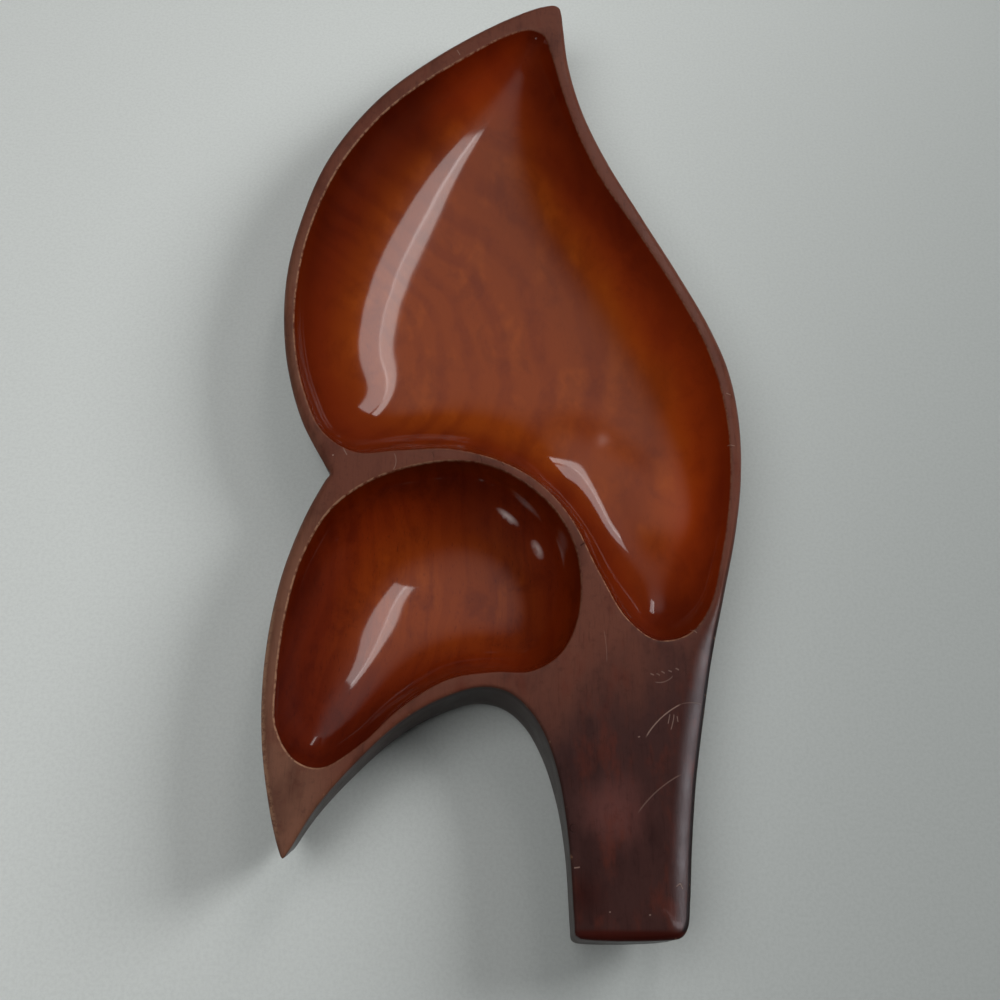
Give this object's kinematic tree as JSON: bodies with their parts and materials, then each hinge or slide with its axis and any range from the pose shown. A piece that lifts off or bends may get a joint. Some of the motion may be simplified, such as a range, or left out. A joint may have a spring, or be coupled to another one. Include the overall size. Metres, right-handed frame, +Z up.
{
  "type": "leaf-shaped serving dish",
  "caption": "Low carved hardwood serving dish in the form of a leaf, with a large and a small hollow, a thin curved divider and a broad stem handle.",
  "frame": {"origin": "on the table under the middle of the dish's box", "axes": "+Y along the dish towards the tip of the leaf, -Y towards the end of the handle, +X to the side away from the small lobe, +Z up out of the hollows"},
  "size_m": [0.1958, 0.4572, 0.032],
  "materials": {
    "carved_wood": "clear lacquer, glossy in the hollows and worn satin on the rim, handle and sides"
  },
  "bodies": {
    "root": {"carved_dish": "carved_wood"}
  },
  "joints": []
}
